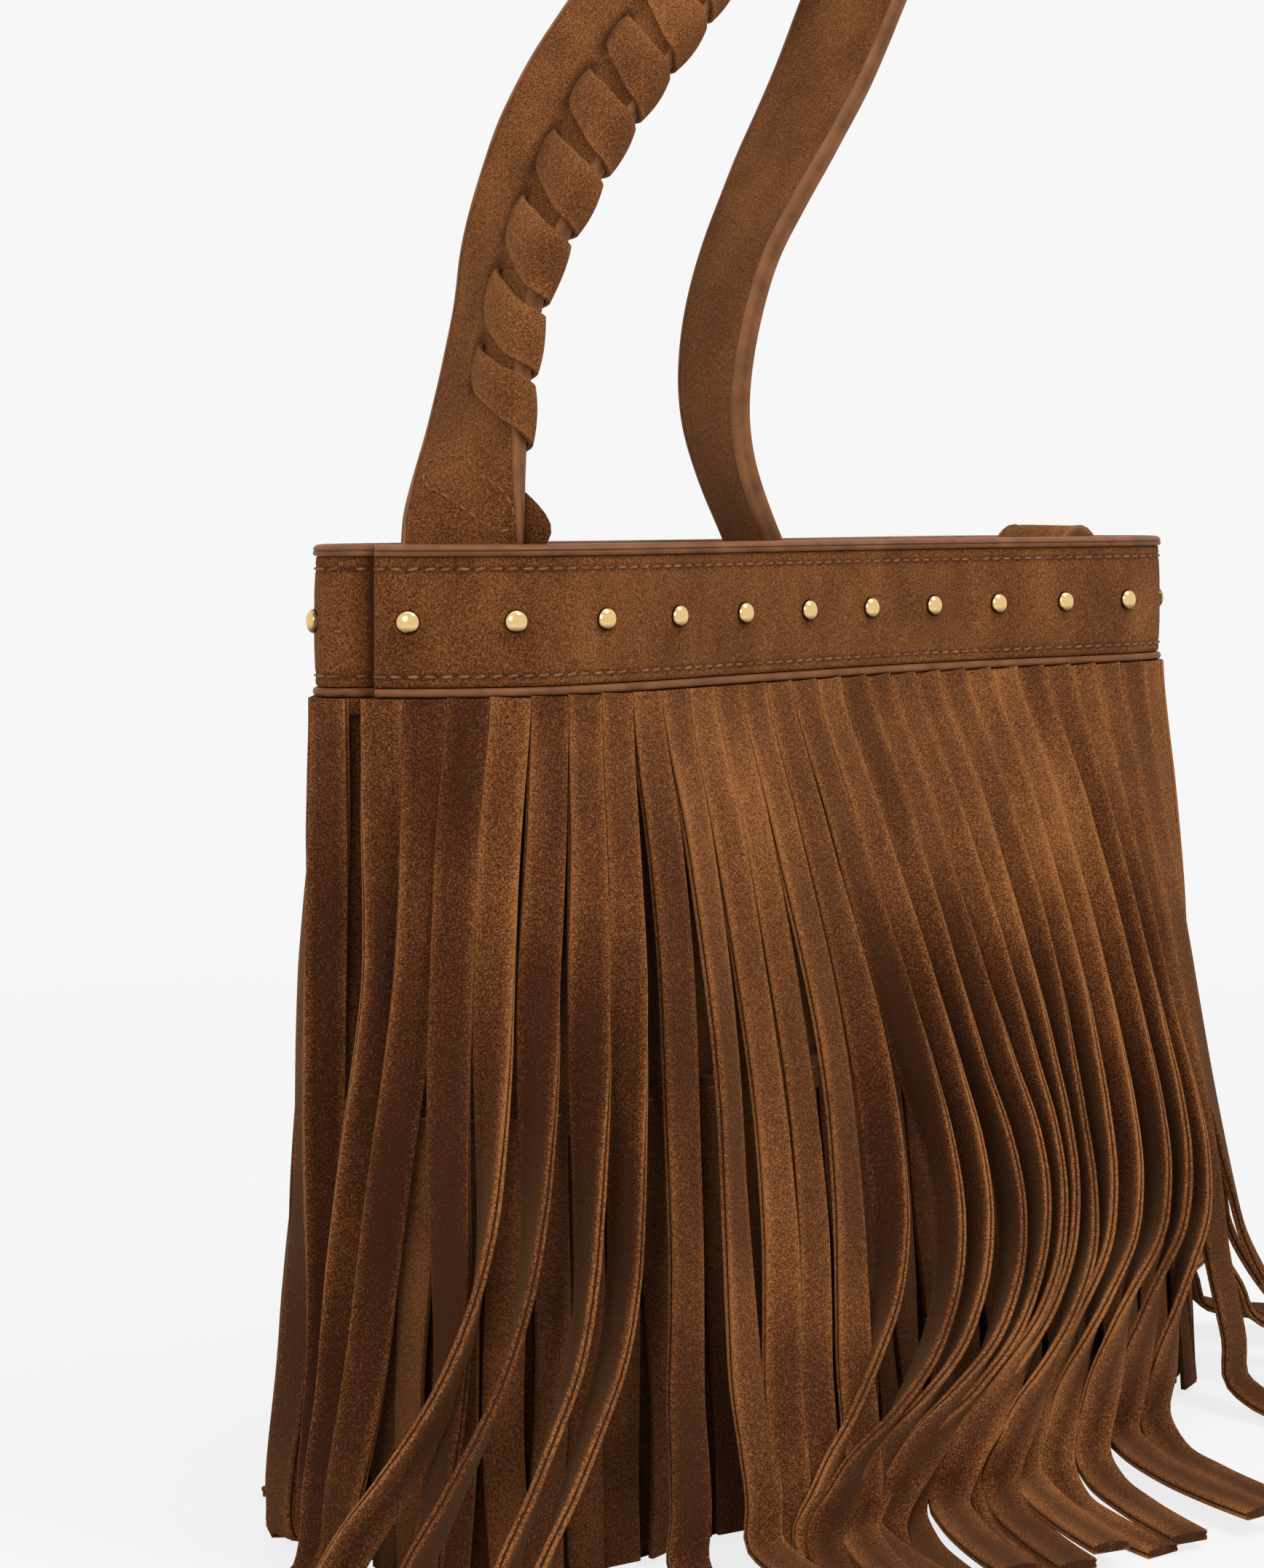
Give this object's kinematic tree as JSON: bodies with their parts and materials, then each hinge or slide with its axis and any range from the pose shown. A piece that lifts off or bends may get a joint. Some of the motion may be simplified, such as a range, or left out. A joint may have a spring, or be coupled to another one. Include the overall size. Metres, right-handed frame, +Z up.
{
  "type": "fringed suede tote bag",
  "caption": "Soft open tote with a studded rim band, a long suede fringe down to the floor and a wide shoulder strap laced along one edge.",
  "frame": {"origin": "centre of the base, on the floor", "axes": "+Z up, the front with the studs and the laced leg faces -Y, +X to the viewer's right"},
  "size_m": [0.4947, 0.2984, 0.5294],
  "materials": {
    "suede": "brushed nap, tan",
    "dark_suede": "brushed nap, darker tan",
    "painted_edge": "smooth painted edge",
    "lining_cloth": "plain woven lining",
    "gold": "polished pale gold"
  },
  "bodies": {
    "root": {"front_rim_band": "suede", "front_body_panel": "dark_suede", "front_top_lip": "painted_edge", "front_bottom_piping": "painted_edge", "upper_fringe_front": "suede", "lower_fringe_front": "dark_suede", "stud_front_01": "gold", "stud_front_02": "gold", "stud_front_03": "gold", "stud_front_04": "gold", "stud_front_05": "gold", "stud_front_06": "gold", "stud_front_07": "gold", "stud_front_08": "gold", "stud_front_09": "gold", "stud_front_10": "gold", "stud_front_11": "gold", "stud_front_12": "gold", "back_rim_band": "suede", "back_body_panel": "dark_suede", "back_top_lip": "painted_edge", "back_bottom_piping": "painted_edge", "upper_fringe_back": "suede", "lower_fringe_back": "dark_suede", "stud_back_01": "gold", "stud_back_02": "gold", "stud_back_03": "gold", "stud_back_04": "gold", "stud_back_05": "gold", "stud_back_06": "gold", "stud_back_07": "gold", "stud_back_08": "gold", "stud_back_09": "gold", "stud_back_10": "gold", "stud_back_11": "gold", "stud_back_12": "gold", "lining": "lining_cloth", "base_panel": "dark_suede", "shoulder_strap": "suede", "edge_lace": "suede", "strap_tab_left": "dark_suede", "strap_tab_right": "dark_suede"}
  },
  "joints": []
}
